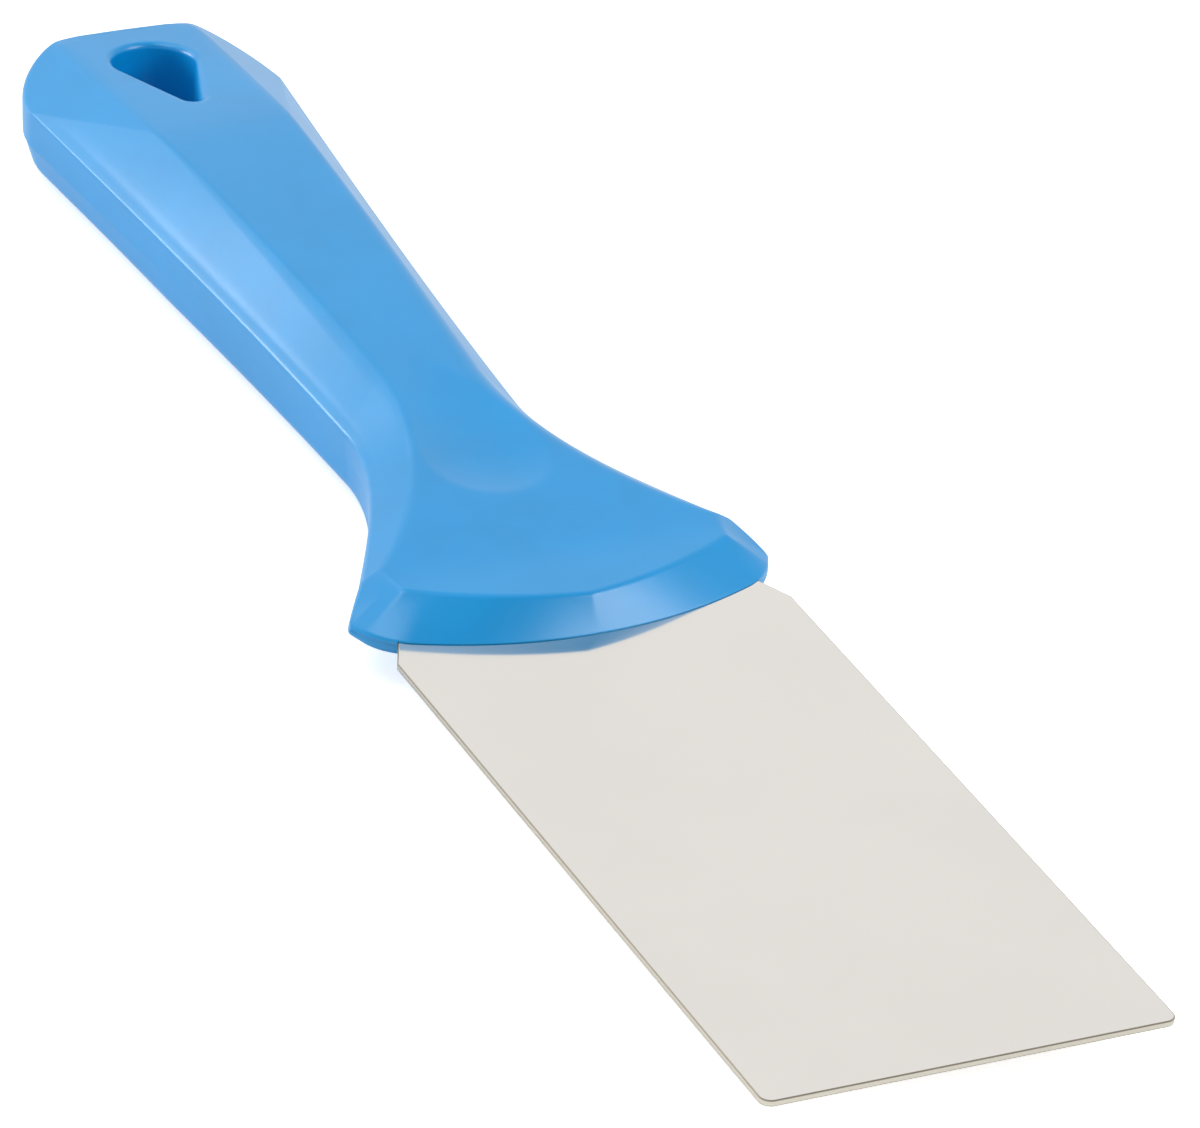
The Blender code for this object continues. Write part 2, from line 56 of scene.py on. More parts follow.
UNTANGLE_STEP = 0.000001
LEAD_POINTS = 5
Law = Callable[[float], Vector]
Rim = list[Vector]
Pair = tuple[float, float]
Knots = tuple[Pair, ...]
Triple = tuple[float, float, float]
Socket = bpy.types.NodeSocket


class Stretch(Enum):
    """The stretches of every outline of the handle, from its front middle round to its back."""

    FRONT = "front"
    LIP_ROUND = "lip_round"
    LIP_CORNER = "lip_corner"
    TIP = "tip"
    FLARE = "flare"
    GRIP = "grip"
    CORNER = "corner"
    BACK = "back"


class Edge(Enum):
    """The long edges that run round the handle, from the underside up."""

    BASE = "base"
    LOWER = "lower"
    RIDGE = "ridge"
    TOP = "top"


class Grain(Enum):
    """Which way a brushed finish runs."""

    ALONG = "along"
    ACROSS = "across"


@dataclass(frozen=True)
class Run:
    """How one stretch is divided, and how far its start is rounded.

    Fine is the share of the stretch that each of its fine end steps takes, and soft_points is
    how many points on each side of its start take part in the rounding.
    """

    steps: int
    fine: float
    soft_points: int = 2

    def shares(self) -> list[float]:
        """Gives the shares of the stretch at which its points lie, without its end.

        Returns:
            Rising shares, closer together at both ends.
        """
        start, end = 2 * self.fine, 1 - 2 * self.fine
        middle = [start + (end - start) * step / self.steps for step in range(self.steps + 1)]
        return [0, self.fine, *middle, 1 - self.fine]


RUNS = {
    Stretch.FRONT: Run(34, 0.006),
    Stretch.LIP_ROUND: Run(9, 0.025),
    Stretch.LIP_CORNER: Run(8, 0.04, 3),
    Stretch.TIP: Run(14, 0.025, 3),
    Stretch.FLARE: Run(54, 0.004),
    Stretch.GRIP: Run(64, 0.002),
    Stretch.CORNER: Run(30, 0.009),
    Stretch.BACK: Run(16, 0.013),
}
# How far each edge's rounding reaches, at places along the outline
EDGE_REACHES = {
    Edge.BASE: ((0, 0.0008), (8, 0.0008)),
    Edge.LOWER: ((0, 0.0003), (1, 0.0003), (2, 0.0005), (3, 0.0006), (4, 0.0008), (5, 0.0011),
                 (6, 0.0011), (8, 0.0013)),
    Edge.RIDGE: ((0, 0.00012), (1, 0.00012), (2, 0.0005), (3, 0.0007), (4, 0.0010), (4.7, 0.0006),
                 (5, 0.00045), (6, 0.0004), (6.15, 0.0009), (7, 0.0009), (8, 0.0007)),
    Edge.TOP: ((0, 0.0005), (3, 0.0005), (4, 0.0008), (5, 0.0014), (6, 0.0009), (7, 0.0020),
               (8, 0.0012)),
}
# The largest shares of the ways to the outlines below and above that a rounding takes up
EDGE_LIMITS = {
    Edge.BASE: (0.9, 0.45),
    Edge.LOWER: (0.45, 0.85),
    Edge.RIDGE: (0.85, 0.45),
    Edge.TOP: (0.45, 0.9),
}


def hermite(share: float, start: float, start_slope: float, end: float, end_slope: float,
            run: float) -> float:
    """Gives a value on the smooth curve between two values whose slopes per run are known.

    Args:
        share: Where on the curve, from 0 to 1.
        start: The first value.
        start_slope: The slope at the first value.
        end: The last value.
        end_slope: The slope at the last value.
        run: The length that the curve covers.

    Returns:
        The value at that share.
    """
    square, cube = share ** 2, share ** 3
    value = (2 * cube - 3 * square + 1) * start + (3 * square - 2 * cube) * end
    return value + run * ((cube - 2 * square + share) * start_slope + (cube - square) * end_slope)


def blend(start: Vector, end: Vector) -> Law:
    """Gives the law that runs straight from one point to another."""
    return lambda share: start.lerp(end, share)


def bow(start: Vector, control: Vector, end: Vector) -> Law:
    """Gives the law of one smooth bow, pulled towards a control point."""
    return lambda share: start.lerp(control, share).lerp(control.lerp(end, share), share)


def sweep(start: Vector, leave: Vector, arrive: Vector, end: Vector) -> Law:
    """Gives the law of one smooth sweep that leaves and arrives towards two control points."""
    first, second = bow(start, leave, arrive), bow(leave, arrive, end)
    return lambda share: first(share).lerp(second(share), share)


def halves(law: Law, cut: float) -> tuple[Law, Law]:
    """Gives the laws of the two parts of a law that is cut at one share."""
    return (lambda share: law(cut * share)), (lambda share: law(cut + (1 - cut) * share))


def taper(start: Vector, end: Vector, start_slope: float, end_slope: float) -> Law:
    """Gives the law of a side line that changes its width smoothly and its height evenly.

    Args:
        start: The line's first point.
        end: The line's last point.
        start_slope: Width gained per length at the first point.
        end_slope: Width gained per length at the last point.

    Returns:
        The law of the line.
    """
    run = end.y - start.y

    def law(share: float) -> Vector:
        """Gives the point at one share of the line."""
        half = hermite(share, start.x, start_slope, end.x, end_slope, run)
        return Vector((half, start.y + run * share, start.z + (end.z - start.z) * share))
    return law


def rim_of(laws: Sequence[Law], end: Vector) -> Rim:
    """Gives the points of a whole outline from one law for each stretch and its last point."""
    points = [law(share) for stretch, law in zip(Stretch, laws) for share in RUNS[stretch].shares()]
    return [*points, end]


def stations() -> list[int]:
    """Gives where the stretches start in an outline.

    Returns:
        The index at which each stretch starts, and that of the last point.
    """
    starts = [0]
    for stretch in Stretch:
        starts.append(starts[-1] + len(RUNS[stretch].shares()))
    return starts


def along_rim(knots: Knots) -> list[float]:
    """Gives one value for each point of an outline.

    Args:
        knots: Places and values. A place is the number of its stretch, plus a share of it.

    Returns:
        The values, even between the knots.
    """
    places = [number + share for number, stretch in enumerate(Stretch)
              for share in RUNS[stretch].shares()]
    found = []
    for place in [*places, len(Stretch)]:
        (start, one), (end, two) = next(pair for pair in zip(knots, knots[1:]) if place <= pair[1][0])
        found.append(one + (two - one) * (place - start) / (end - start))
    return found


def soft_min(one: float, two: float, softness: float) -> float:
    """Gives the smaller of two values, with a soft change from one to the other."""
    return (one + two - math.hypot(one - two, softness)) / 2


def plan_normals(points: Rim) -> list[Vector]:
    """Gives, for each point of a half outline, the level direction that leads into the handle.

    Args:
        points: The half outline.

    Returns:
        Unit directions, one for each point.
    """
    mirrored = [Vector((-points[index].x, points[index].y, 0)) for index in (1, -2)]
    around = [mirrored[0], *points, mirrored[1]]
    normals = []
    for before, after in zip(around, around[2:]):
        along = Vector((after.x - before.x, after.y - before.y, 0)).normalized()
        normals.append(Vector((-along.y, along.x, 0)))
    return normals


def set_in(points: Rim, distance: float, drop: float = 0) -> Rim:
    """Moves a half outline level into the handle by one distance, and down by another."""
    fall = Vector((0, 0, drop))
    return [point + into * distance - fall for point, into in zip(points, plan_normals(points))]


def on_plane(corners: Sequence[Vector], point: Vector) -> Vector:
    """Moves a point up or down on to a plane.

    Args:
        corners: Three points of the plane.
        point: The point to move.

    Returns:
        The point on the plane.
    """
    one, two, three = corners
    normal = (two - one).cross(three - one)
    fall = (normal.x * (point.x - one.x) + normal.y * (point.y - one.y)) / normal.z
    return Vector((point.x, point.y, one.z - fall))


def soften(points: Rim) -> Rim:
    """Rounds an outline where its stretches meet.

    Args:
        points: The outline.

    Returns:
        The rounded outline, with as many points.
    """
    lead = [Vector((-point.x, point.y, point.z)) for point in points[LEAD_POINTS:0:-1]]
    rounded = [*lead, *points]
    for stretch, start in zip(Stretch, stations()):
        reach, centre = RUNS[stretch].soft_points, start + len(lead)
        law = bow(rounded[centre - reach], rounded[centre], rounded[centre + reach])
        points_round = [law(step / (2 * reach)) for step in range(2 * reach + 1)]
        rounded[centre - reach:centre + reach + 1] = points_round
    rounded[len(lead)].x = 0
    return rounded[len(lead):]


def untangled(points: Rim) -> Rim:
    """Evens out an outline wherever its points would step forwards again.

    Args:
        points: The outline.

    Returns:
        The outline, whose points run from the front to the back without a fold.
    """
    evened = list(points)
    for _ in range(UNTANGLE_PASSES):
        for index in range(1, len(evened) - 2):
            if evened[index + 1].y < evened[index].y + UNTANGLE_STEP:
                evened[index] = (evened[index - 1] + evened[index + 1]) / 2
                evened[index + 1] = (evened[index] + evened[index + 2]) / 2
    return evened


def span(first: Rim, last: Rim, shares: Sequence[float]) -> list[Rim]:
    """Gives the outlines between two outlines, at some shares of the way."""
    return [[one.lerp(two, share) for one, two in zip(first, last)] for share in shares]


def mirror_across(bm: bmesh.types.BMesh) -> None:
    """Adds the mirror image on the other side of the middle plane, welded along that plane."""
    bmesh.ops.mirror(bm, geom=[*bm.verts, *bm.edges, *bm.faces], axis='X', merge_dist=WELD_DISTANCE)


def grow_chain(bm: bmesh.types.BMesh, chain: list[bmesh.types.BMVert],
               points: Rim) -> list[bmesh.types.BMVert]:
    """Extrudes an open chain of edges and moves the new chain to its own points.

    Args:
        bm: The mesh that is being built.
        chain: The chain's vertices in order.
        points: Where the new vertices go.

    Returns:
        The new chain's vertices in the same order.
    """
    edges = [bm.edges.get(pair) for pair in zip(chain, chain[1:])]
    grown = bmesh.ops.extrude_edge_only(bm, edges=edges)["geom"]
    fresh = {item for item in grown if isinstance(item, bmesh.types.BMVert)}
    result = []
    for vert, point in zip(chain, points):
        twin = next(edge.other_vert(vert) for edge in vert.link_edges if edge.other_vert(vert) in fresh)
        twin.co = point
        result.append(twin)
    return result


def loft(rims: Sequence[Rim]) -> bmesh.types.BMesh:
    """Joins half outlines by extrusion and mirrors them into one body.

    Args:
        rims: The half outlines, whose ends lie on the middle plane.

    Returns:
        The mesh, closed where its first and last outlines lie on that plane too.
    """
    bm = bmesh.new()
    chain = [bm.verts.new(point) for point in rims[0]]
    for pair in zip(chain, chain[1:]):
        bm.edges.new(pair)
    for rim in rims[1:]:
        chain = grow_chain(bm, chain, rim)
    mirror_across(bm)
    return bm


def linked(name: str, data: bpy.types.ID) -> bpy.types.Object:
    """Makes an object and links it to the scene.

    Args:
        name: The object's name.
        data: Its mesh, lamp or camera.

    Returns:
        The new object, at the origin.
    """
    made = bpy.data.objects.new(name, data)
    bpy.context.collection.objects.link(made)
    return made


def mesh_object(bm: bmesh.types.BMesh, name: str) -> bpy.types.Object:
    """Makes an object of a mesh that is being built, and frees it.

    Args:
        bm: The mesh.
        name: The object's name.

    Returns:
        The new object, at the origin.
    """
    mesh = bpy.data.meshes.new(name)
    bm.to_mesh(mesh)
    bm.free()
    return linked(name, mesh)


def shade(mesh: bpy.types.Mesh, sharp_degrees: float) -> None:
    """Shades a mesh smooth but for its edges from a given angle."""
    mesh.shade_smooth()
    mesh.set_sharp_from_angle(angle=math.radians(sharp_degrees))


def finish_mesh(bm: bmesh.types.BMesh, name: str, sharp_degrees: float) -> bpy.types.Object:
    """Makes an object of a mesh, welded, facing outwards and smooth but for its sharp edges.

    Args:
        bm: The mesh, which is freed.
        name: The object's name.
        sharp_degrees: The angle from which an edge stays sharp.

    Returns:
        The new object, at the origin.
    """
    bmesh.ops.remove_doubles(bm, verts=bm.verts, dist=WELD_DISTANCE)
    bmesh.ops.dissolve_degenerate(bm, edges=bm.edges, dist=WELD_DISTANCE)
    bmesh.ops.recalc_face_normals(bm, faces=bm.faces)
    made = mesh_object(bm, name)
    shade(made.data, sharp_degrees)
    return made


def carve(target: bpy.types.Object, cutters: Sequence[bpy.types.Object], sharp_degrees: float) -> None:
    """Cuts bodies out of a piece for good and removes them.

    Args:
        target: The piece.
        cutters: The bodies to cut out.
        sharp_degrees: The angle from which an edge stays sharp.
    """
    for cutter in cutters:
        modifier = target.modifiers.new(cutter.name, 'BOOLEAN')
        modifier.operation = 'DIFFERENCE'
        modifier.solver = 'EXACT'
        modifier.object = cutter
    graph = bpy.context.evaluated_depsgraph_get()
    carved = bpy.data.meshes.new_from_object(target.evaluated_get(graph))
    target.modifiers.clear()
    target.data = carved
    shade(carved, sharp_degrees)
    for cutter in cutters:
        bpy.data.objects.remove(cutter, do_unlink=True)


class NodeSheet:
    """A node tree, with short ways to add nodes and links."""

    def __init__(self, tree: bpy.types.NodeTree) -> None:
        """Starts from an empty tree."""
        self.tree = tree
        tree.nodes.clear()

    def add(self, kind: str, settings: dict[str, object] | None = None,
            **inputs: object) -> bpy.types.Node:
        """Adds one node.

        Args:
            kind: The node's type name.
            settings: The node's own properties.
            **inputs: Values or output sockets for its inputs, spaces written as underscores.

        Returns:
            The new node.
        """
        node = self.tree.nodes.new(kind)
        for key, value in (settings or {}).items():
            setattr(node, key, value)
        for key, value in inputs.items():
            self.feed(node.inputs[key.replace("_", " ")], value)
        return node

    def feed(self, socket: Socket, value: object) -> None:
        """Gives an input its value, or links it.

        Args:
            socket: The input.
            value: Its value, or the output socket to link it to.
        """
        if isinstance(value, Socket):
            self.tree.links.new(value, socket)
        else:
            socket.default_value = value

    def merge(self, kind: str, operation: str, one: object, two: object) -> bpy.types.Node:
        """Adds a node that makes one thing of two.

        Args:
            kind: The node's type name.
            operation: What a maths node does, empty for others.
            one: The first input's value or output socket.
            two: The second input's value or output socket.

        Returns:
            The new node.
        """
        node = self.add(kind, {"operation": operation} if operation else None)
        self.feed(node.inputs[0], one)
        self.feed(node.inputs[1], two)
        return node

    def noise(self, place: Socket, scale: float, detail: float) -> Socket:
        """Adds an even noise in space."""
        return self.add("ShaderNodeTexNoise", Vector=place, Scale=scale, Detail=detail).outputs["Fac"]

    def bump(self, height: Socket, distance: float, **under: Socket) -> Socket:
        """Adds bumps of a given height, over the normal of any bumps under them."""
        node = self.add("ShaderNodeBump", Height=height, Distance=distance, Strength=1.0, **under)
        return node.outputs["Normal"]

    def shades(self, value: Socket, colour: Triple, shares: Pair, stops: Pair) -> Socket:
        """Turns a value into a colour between two shades of one colour.

        Args:
            value: The value's socket.
            colour: The colour.
            shares: How much of the colour each shade has.
            stops: The values that give the two shades.

        Returns:
            The colour's socket.
        """
        node = self.add("ShaderNodeValToRGB", Fac=value)
        for element, share, stop in zip(node.color_ramp.elements, shares, stops):
            element.position = stop
            element.color = (*(part * share for part in colour), 1.0)
        return node.outputs["Color"]

    def scaled(self, value: Socket, low: object, high: object) -> Socket:
        """Maps a value from 0 to 1 on to the range between two values or sockets."""
        return self.add("ShaderNodeMapRange", Value=value, To_Min=low, To_Max=high).outputs["Result"]

    def around(self, value: Socket, middle: float, change: float) -> Socket:
        """Maps a value from 0 to 1 on to a range around a middle."""
        return self.scaled(value, middle - change, middle + change)

    def seen_directly(self) -> Socket:
        """Tells the rays that show a surface from those that light it.

        Returns:
            A socket that is 1 for camera, glossy and transmission rays.
        """
        path = self.add("ShaderNodeLightPath")
        found = path.outputs["Is Camera Ray"]
        for name in ("Is Glossy Ray", "Is Transmission Ray"):
            found = self.merge("ShaderNodeMath", 'MAXIMUM', found, path.outputs[name]).outputs["Value"]
        return found


def new_material(name: str) -> tuple[bpy.types.Material, NodeSheet]:
    """Makes a material.

    Args:
        name: The material's name.

    Returns:
        The material and its node tree, which is empty.
    """
    material = bpy.data.materials.new(name)
    material.use_nodes = True
    return material, NodeSheet(material.node_tree)


@dataclass(frozen=True)
class MouldedPlastic:
    """Satin injection-moulded polypropylene: even colour, fine tool texture, faint flow marks."""

    name: str
    colour: Triple
    roughness: float = 0.3
    roughness_change: float = 0.04
    specular: float = 0.7
    shade_change: float = 0.035
    texture_per_metre: float = 5200.0
    texture_depth: float = 0.0000025
    flow_per_metre: float = 90.0
    flow_depth: float = 0.000020
    flow_stops: Pair = (0.35, 0.65)

    def material(self) -> bpy.types.Material:
        """Builds the material.

        Returns:
            A new material with its nodes.
        """
        material, sheet = new_material(self.name)
        place = sheet.add("ShaderNodeTexCoord").outputs["Object"]
        flow = sheet.noise(place, self.flow_per_metre, 3.0)
        texture = sheet.noise(place, self.texture_per_metre, 2.0)
        shares = (1 - self.shade_change, 1 + self.shade_change)
        marks = sheet.bump(flow, self.flow_depth)
        shader = sheet.add("ShaderNodeBsdfPrincipled",
                           Base_Color=sheet.shades(flow, self.colour, shares, self.flow_stops),
                           Roughness=sheet.around(texture, self.roughness, self.roughness_change),
                           Specular_IOR_Level=self.specular,
                           Normal=sheet.bump(texture, self.texture_depth, Normal=marks))
        sheet.add("ShaderNodeOutputMaterial", Surface=shader.outputs["BSDF"])
        return material


@dataclass(frozen=True)
class SatinSteel:
    """Rolled stainless sheet with a fine brushed grain and a few faint stains."""

    name: str
    colour: Triple
    roughness: float = 0.09
    roughness_change: float = 0.02
    grain: Grain = Grain.ALONG
    lines_per_metre: float = 9000.0
    stretch_share: float = 0.02
    groove_depth: float = 0.0000006
    stains_per_metre: float = 45.0
    stained_share: float = 0.97
    stain_stops: Pair = (0.3, 0.7)

    def material(self) -> bpy.types.Material:
        """Builds the material.

        Returns:
            A new material with its nodes.
        """
        material, sheet = new_material(self.name)
        place = sheet.add("ShaderNodeTexCoord").outputs["Object"]
        squeeze = (1, self.stretch_share, 1) if self.grain is Grain.ALONG else (self.stretch_share, 1, 1)
        stretched = sheet.add("ShaderNodeMapping", Vector=place, Scale=squeeze).outputs["Vector"]
        lines = sheet.noise(stretched, self.lines_per_metre, 3.0)
        stains = sheet.noise(place, self.stains_per_metre, 4.0)
        colour = sheet.shades(stains, self.colour, (self.stained_share, 1.0), self.stain_stops)
        shader = sheet.add("ShaderNodeBsdfPrincipled", Base_Color=colour, Metallic=1.0,
                           Roughness=sheet.around(lines, self.roughness, self.roughness_change),
                           Normal=sheet.bump(lines, self.groove_depth))
        sheet.add("ShaderNodeOutputMaterial", Surface=shader.outputs["BSDF"])
        return material


@dataclass(frozen=True)
class PaleFloor:
    """A plain white floor that keeps the object's shadow and shows white around it."""

    name: str = "pale_floor"
    colour: Triple = (0.88, 0.88, 0.88)
    glow: float = 0.62
    mirrored_glow: float = 0.2

    def material(self) -> bpy.types.Material:
        """Builds the material.

        Returns:
            A new material with its nodes.
        """
        material, sheet = new_material(self.name)
        matt = sheet.add("ShaderNodeBsdfDiffuse", Color=(*self.colour, 1.0))
        path = sheet.add("ShaderNodeLightPath")
        shown = sheet.scaled(path.outputs["Is Camera Ray"], self.mirrored_glow, self.glow)
        glow = sheet.add("ShaderNodeEmission", Strength=sheet.scaled(sheet.seen_directly(), 0.0, shown))
        both = sheet.merge("ShaderNodeAddShader", "", matt.outputs["BSDF"], glow.outputs["Emission"])
        sheet.add("ShaderNodeOutputMaterial", Surface=both.outputs["Shader"])
        return material


BLUE_PLASTIC = MouldedPlastic("blue_polypropylene", (0.0005, 0.305, 0.71))
FLAT_STEEL = SatinSteel("satin_steel", (0.77, 0.745, 0.705))
# Cut-edge steel, darker and warmer than the flat sides: painted shade on the blade's edge faces
CUT_STEEL_PAINTED_SHADE = SatinSteel("steel_cut_edge_painted_shade", (0.68, 0.65, 0.56), 0.35, 0.05, Grain.ACROSS)
# Dark chamfer steel: a painted shadow line along the blade's edges
PAINTED_SHADOW_LINE_STEEL = SatinSteel("steel_edge_painted_shadow_line", (0.33, 0.295, 0.24), 0.35, 0.05)


@dataclass
class Blade:
    """The steel blade: a flat sheet whose narrower tang runs on inside the handle."""

    mouth_y: float = -0.0253
    level: float = 0.0056
    width: float = 0.0500
    thickness: float = 0.0008
    reach: float = 0.0924
    tip_radius: float = 0.0014
    shoulder_back: float = 0.0010
    shoulder_run: float = 0.0110
    shoulder_step: float = 0.0052
    tang_width: float = 0.0150
    tang_length: float = 0.0660
    tang_corner_radius: float = 0.0030
    hole_radius: float = 0.0030
    hole_backs: tuple[float, ...] = (0.0230, 0.0395, 0.0560)
    drum_depth: float = 0.0032
    edge_chamfer: float = 0.00014
    rim_radians: float = 1.0
    flat_rise: float = 0.99
    wall_rise: float = 0.2
    round_steps: int = 10
    sharp_degrees: float = 40.0

    def place(self, half: float, back: float, height: float) -> Vector:
        """Gives a point from its half width, distance back from the mouth and height."""
        return Vector((half, self.mouth_y + back, self.level + height))

    def arc(self, centre: Pair, radius: float, start: float, end: float) -> list[Pair]:
        """Gives points of a plan arc.

        Args:
            centre: The arc's centre, across and back.
            radius: Its radius.
            start: Its first angle in degrees.
            end: Its last angle in degrees.

        Returns:
            The points, both ends included.
        """
        angles = [math.radians(start + (end - start) * step / self.round_steps)
                  for step in range(self.round_steps + 1)]
        return [(centre[0] + radius * math.cos(angle), centre[1] + radius * math.sin(angle))
                for angle in angles]

    def half_outline(self, gap: float) -> list[Pair]:
        """Gives half of the blade's plan, from its front edge to the tang's end.

        Args:
            gap: How far the plan is grown on every side.

        Returns:
            Points, across and back.
        """
        half, end_half = self.width / 2, self.tang_width / 2
        shoulder = self.shoulder_back + self.shoulder_run
        tip = (half - self.tip_radius, self.tip_radius - self.reach)
        end = (end_half - self.tang_corner_radius, self.tang_length - self.tang_corner_radius)
        points = self.arc(tip, self.tip_radius + gap, -90, 0)
        points += [(half + gap, self.shoulder_back), (half - self.shoulder_step + gap, shoulder + gap)]
        points += [(end_half + gap, shoulder + self.shoulder_step + gap)]
        return points + self.arc(end, self.tang_corner_radius + gap, 0, 90)

    def plate(self, gap: float) -> bmesh.types.BMesh:
        """Makes the blade's plate.

        Args:
            gap: How far it is grown on every side.

        Returns:
            The closed mesh of the plate, without its holes.
        """
        height = self.thickness / 2 + gap
        bm = bmesh.new()
        corners = [self.place(across, back, -height) for across, back in self.half_outline(gap)]
        corners += [Vector((0, corners[index].y, corners[index].z)) for index in (-1, 0)]
        bm.faces.new([bm.verts.new(corner) for corner in corners])
        mirror_across(bm)
        grown = bmesh.ops.extrude_face_region(bm, geom=list(bm.faces))["geom"]
        verts = [item for item in grown if isinstance(item, bmesh.types.BMVert)]
        bmesh.ops.translate(bm, verts=verts, vec=(0, 0, 2 * height))
        bmesh.ops.recalc_face_normals(bm, faces=bm.faces)
        return bm

    def hole_drums(self) -> bpy.types.Object:
        """Makes the round bodies that cut the tang's holes.

        Returns:
            One object that holds them all.
        """
        bm = bmesh.new()
        for back in self.hole_backs:
            made = bmesh.ops.create_cone(bm, cap_ends=True, segments=4 * self.round_steps,
                                         radius1=self.hole_radius, radius2=self.hole_radius,
                                         depth=self.drum_depth)
            bmesh.ops.translate(bm, verts=made["verts"], vec=self.place(0, back, 0))
        return finish_mesh(bm, "tang_hole_drums", self.sharp_degrees)

    def build(self, finish: SatinSteel, wall: SatinSteel, line: SatinSteel) -> bpy.types.Object:
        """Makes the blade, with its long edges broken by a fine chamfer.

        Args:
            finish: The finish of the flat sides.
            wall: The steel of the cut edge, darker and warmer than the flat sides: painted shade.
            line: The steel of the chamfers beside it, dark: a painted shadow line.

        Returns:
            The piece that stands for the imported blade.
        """
        bm = self.plate(0)
        rims = [edge for edge in bm.edges
                if len(edge.link_faces) == 2 and edge.calc_face_angle() > self.rim_radians
                and abs(edge.verts[0].co.z - edge.verts[1].co.z) < WELD_DISTANCE]
        bmesh.ops.bevel(bm, geom=rims, offset=self.edge_chamfer, offset_type='OFFSET', affect='EDGES',
                        segments=2, profile=0.5, material=-1)
        flats = [face for face in bm.faces
                 if abs(face.normal.z) > self.flat_rise and len(face.verts) > 4]
        bmesh.ops.inset_region(bm, faces=flats, thickness=self.edge_chamfer, use_even_offset=True)
        blade = finish_mesh(bm, "blade_sheet", self.sharp_degrees)
        carve(blade, [self.hole_drums()], self.sharp_degrees)
        for part in (finish, wall, line):
            blade.data.materials.append(part.material())
        # Edge faces take the cut-edge steel with its painted shade, and chamfers take the dark steel of
        # the painted shadow line
        for face in blade.data.polygons:
            rise = abs(face.normal.z)
            face.material_index = 0 if rise > self.flat_rise else 1 if rise < self.wall_rise else 2
        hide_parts("blade")
        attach(blade, BODY)
        return blade


@dataclass
class ThumbDish:
    """The shallow dish for the thumb on the neck's top face."""

    front_back: float = 0.0241
    length: float = 0.0300
    deepest_run: float = 0.0080
    depth: float = 0.0009
    width: float = 0.0156
    rim_softness: float = 0.00003

    def depth_at(self, across: float, back: float) -> float:
        """Gives how deep the dish is below the top face.

        Args:
            across: The distance from the middle.
            back: The distance back from the mouth.

        Returns:
            The depth, which fades softly to nothing outside the dish.
        """
        radius = self.width ** 2 / (8 * self.depth) + self.depth / 2
        run = back - self.front_back
        if run < self.deepest_run:
            share = 1 - (1 - run / self.deepest_run) ** 2
        else:
            rest = min(1.0, (run - self.deepest_run) / (self.length - self.deepest_run))
            share = hermite(rest, 1, 0, 0, 0, 1)
        round_fall = radius - math.sqrt(max(0.0, radius ** 2 - across ** 2))
        return -soft_min(round_fall - self.depth * share, 0, self.rim_softness)


@dataclass
class HangingHole:
    """The hanging hole: a round end at the back, drawn out to a small nose towards the blade."""

    width: float = 0.0105
    length: float = 0.0182
    nose_radius: float = 0.0008
    end_wall: float = 0.00575
    back_rim: float = 0.0009
    nose_rim: float = 0.0018
    rim_steps: int = 8
    round_steps: int = 16
    overrun: float = 0.0020

    def half_outline(self, handle_length: float, grow_share: float) -> list[Triple]:
        """Gives half of the hole's plan, grown by a share of its rim.

        Args:
            handle_length: The handle's length.
            grow_share: 0 for the hole itself, 1 for the outside of its rounded rim.

        Returns:
            Points, across and back, with the reach of the rounded rim at each.
        """
        wide = self.width / 2
        rear = handle_length - self.end_wall - wide
        nose = handle_length - self.end_wall - self.length + self.nose_radius
        lean = math.asin((wide - self.nose_radius) / (rear - nose))
        arcs = ((nose, self.nose_radius, self.nose_rim, -math.pi / 2, -lean),
                (rear, wide, self.back_rim, -lean, math.pi / 2))
        points = []
        for centre, radius, rim, start, end in arcs:
            for step in range(self.round_steps + 1):
                angle = start + (end - start) * step / self.round_steps
                size = radius + rim * grow_share
                points.append((size * math.cos(angle), centre + size * math.sin(angle), rim))
        return points


